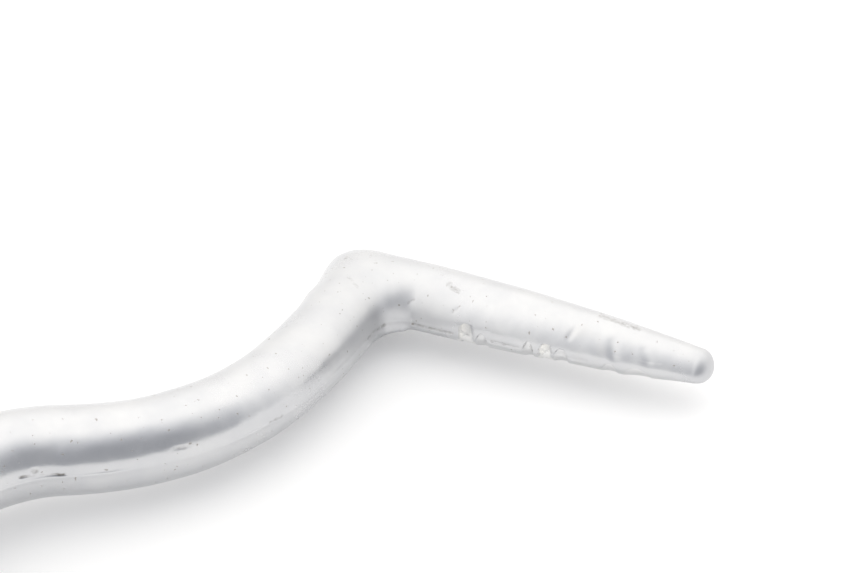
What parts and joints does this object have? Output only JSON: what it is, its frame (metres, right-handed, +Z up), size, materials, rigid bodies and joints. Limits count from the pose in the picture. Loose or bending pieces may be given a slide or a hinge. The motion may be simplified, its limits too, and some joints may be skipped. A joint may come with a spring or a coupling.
{
  "type": "motorcycle gear shift lever",
  "caption": "Forged aluminium gear shift lever: clamp boss with serrated bore and slot, S-shaped round arm, and a tapered notched toe peg; pinch bolt with washers.",
  "frame": {"origin": "centre of the serrated clamp bore, midway between the boss's two end faces", "axes": "+X along the bore, from the engine side outboard and parallel to the toe peg; +Y forward from the shift shaft to the peg; +Z up as the lever lies on a bench, resting on the boss's side and on the arm's corner"},
  "size_m": [0.0863, 0.154, 0.0277],
  "materials": {
    "forged_aluminium": "tumbled satin forging with a trimmed parting line",
    "zinc_plated_bolt": "bright zinc plate on steel",
    "spring_steel": "zinc plated spring steel",
    "zinc_plated_washer": "bright zinc plate on steel"
  },
  "bodies": {
    "lever": {"lever_forging": "forged_aluminium"},
    "washers": {"lock_washer": "spring_steel", "plain_washer": "zinc_plated_washer"},
    "bolt": {"pinch_bolt": "zinc_plated_bolt"}
  },
  "joints": [
    {"name": "pinch_bolt_back_out", "type": "slide", "parent": "lever", "child": "washers", "axis": [0, 0, 1], "range_m": [0, 0.007]},
    {"name": "pinch_bolt_turn", "type": "hinge", "parent": "washers", "child": "bolt", "pos_m": [0, -0.0115, 0], "axis": [0, 0, 1], "range_deg": [0, 2520]}
  ],
  "couplings": [
    {"joint": "pinch_bolt_turn", "follows": "pinch_bolt_back_out", "rad_per_m": 6283.2}
  ]
}
